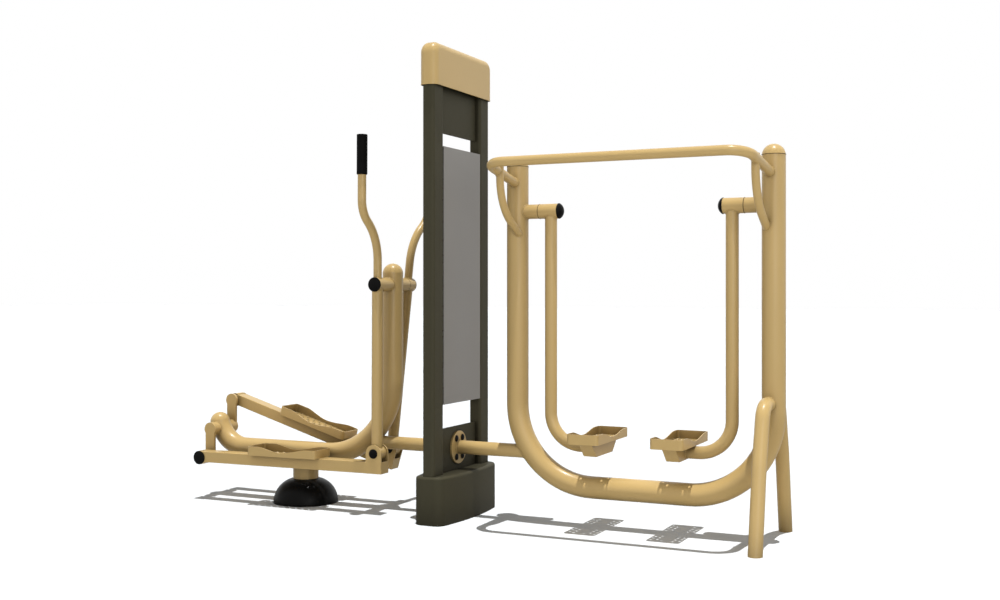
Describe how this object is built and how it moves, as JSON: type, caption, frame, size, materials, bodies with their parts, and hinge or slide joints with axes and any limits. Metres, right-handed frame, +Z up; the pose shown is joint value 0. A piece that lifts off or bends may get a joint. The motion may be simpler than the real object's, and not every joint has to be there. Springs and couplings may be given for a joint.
{
  "type": "outdoor air walker",
  "caption": "Outdoor exercise station: a sign pillar joined by tubes to an air walker with swinging foot trays and to an elliptical cross trainer with levers and cranked foot beams.",
  "frame": {"origin": "on the ground under the middle of the sign pillar, at the centre of its four anchor holes", "axes": "+X along the station from the cross trainer to the air walker, +Y away from the front, towards the rear, +Z up"},
  "size_m": [2.6928, 0.6475, 1.972],
  "materials": {
    "beige_paint": "glossy powder coat, warm beige",
    "pillar_paint": "satin powder coat, dark olive grey",
    "panel_grey": "satin grey",
    "black_plastic": "smooth black",
    "black_rubber": "matte black foam",
    "bare_steel": "bare steel"
  },
  "bodies": {
    "station": {"base_plate": "bare_steel", "plinth_cover": "pillar_paint", "front_upright": "pillar_paint", "rear_upright": "pillar_paint", "header_plate": "pillar_paint", "lower_plate": "pillar_paint", "panel_frame": "bare_steel", "sign_sheets": "panel_grey", "pillar_cap": "beige_paint", "link_flanges": "beige_paint", "flange_bolts": "black_plastic", "left_link_tube": "beige_paint", "right_link_tube": "beige_paint", "post_domes": "beige_paint", "walker_frame": "beige_paint", "handrail": "beige_paint", "handrail_braces": "beige_paint", "front_support_leg": "beige_paint", "rear_support_leg": "beige_paint", "pivot_stubs": "beige_paint", "pivot_shafts": "bare_steel", "pivot_bearings": "bare_steel", "trainer_frame": "beige_paint", "foot_post": "beige_paint", "foot_flange": "bare_steel", "foot_dome": "black_plastic", "lever_axle_housing": "beige_paint", "lever_shaft": "bare_steel", "crank_housing": "beige_paint", "crank_bearings": "bare_steel"},
    "left_swing": {"left_swing_hub": "beige_paint", "left_swing_hub_cap": "black_plastic", "left_swing_leg": "beige_paint", "left_pedal_bracket": "beige_paint", "left_pedal_tray": "beige_paint"},
    "right_swing": {"right_swing_hub": "beige_paint", "right_swing_hub_cap": "black_plastic", "right_swing_leg": "beige_paint", "right_pedal_bracket": "beige_paint", "right_pedal_tray": "beige_paint"},
    "crank": {"crank_axle": "bare_steel", "near_crank_arm": "beige_paint", "far_crank_arm": "beige_paint", "crank_pin_bearings": "bare_steel"},
    "near_beam": {"near_foot_beam": "beige_paint", "near_beam_tray": "beige_paint", "near_clevis_pin": "bare_steel", "near_beam_caps": "black_plastic"},
    "far_beam": {"far_foot_beam": "beige_paint", "far_beam_tray": "beige_paint", "far_clevis_pin": "bare_steel", "far_beam_caps": "black_plastic"},
    "near_lever_set": {"near_lever": "beige_paint", "near_handle_tube": "beige_paint", "near_grip": "black_rubber", "near_lever_cap": "black_plastic"},
    "far_lever_set": {"far_lever": "beige_paint", "far_handle_tube": "beige_paint", "far_grip": "black_rubber", "far_lever_cap": "black_plastic"}
  },
  "joints": [
    {"name": "left_swing_pivot", "type": "hinge", "parent": "station", "child": "left_swing", "pos_m": [0.428, 0, 1.282], "axis": [1, 0, 0], "range_deg": [-55, 55]},
    {"name": "right_swing_pivot", "type": "hinge", "parent": "station", "child": "right_swing", "pos_m": [1.196, 0, 1.282], "axis": [1, 0, 0], "range_deg": [-55, 55]},
    {"name": "crank_turn", "type": "hinge", "parent": "station", "child": "crank", "pos_m": [-1.247, 0, 0.313], "axis": [0, 1, 0], "range_deg": [-25, 25]},
    {"name": "near_beam_pivot", "type": "hinge", "parent": "crank", "child": "near_beam", "pos_m": [-1.247, -0.129, 0.191], "axis": [0, 1, 0], "range_deg": [-25, 25]},
    {"name": "far_beam_pivot", "type": "hinge", "parent": "crank", "child": "far_beam", "pos_m": [-1.247, 0.129, 0.435], "axis": [0, 1, 0], "range_deg": [-25, 25]},
    {"name": "near_lever_pivot", "type": "hinge", "parent": "station", "child": "near_lever_set", "pos_m": [-0.315, -0.129, 0.982], "axis": [0, 1, 0], "range_deg": [-4.2, 4.2]},
    {"name": "far_lever_pivot", "type": "hinge", "parent": "station", "child": "far_lever_set", "pos_m": [-0.315, 0.129, 0.982], "axis": [0, 1, 0], "range_deg": [-4.2, 4.2]}
  ],
  "couplings": [
    {"joint": "near_beam_pivot", "follows": "crank_turn", "ratio": -1},
    {"joint": "far_beam_pivot", "follows": "crank_turn", "ratio": -0.986},
    {"joint": "near_lever_pivot", "follows": "crank_turn", "ratio": 0.1655},
    {"joint": "far_lever_pivot", "follows": "crank_turn", "ratio": -0.152}
  ]
}
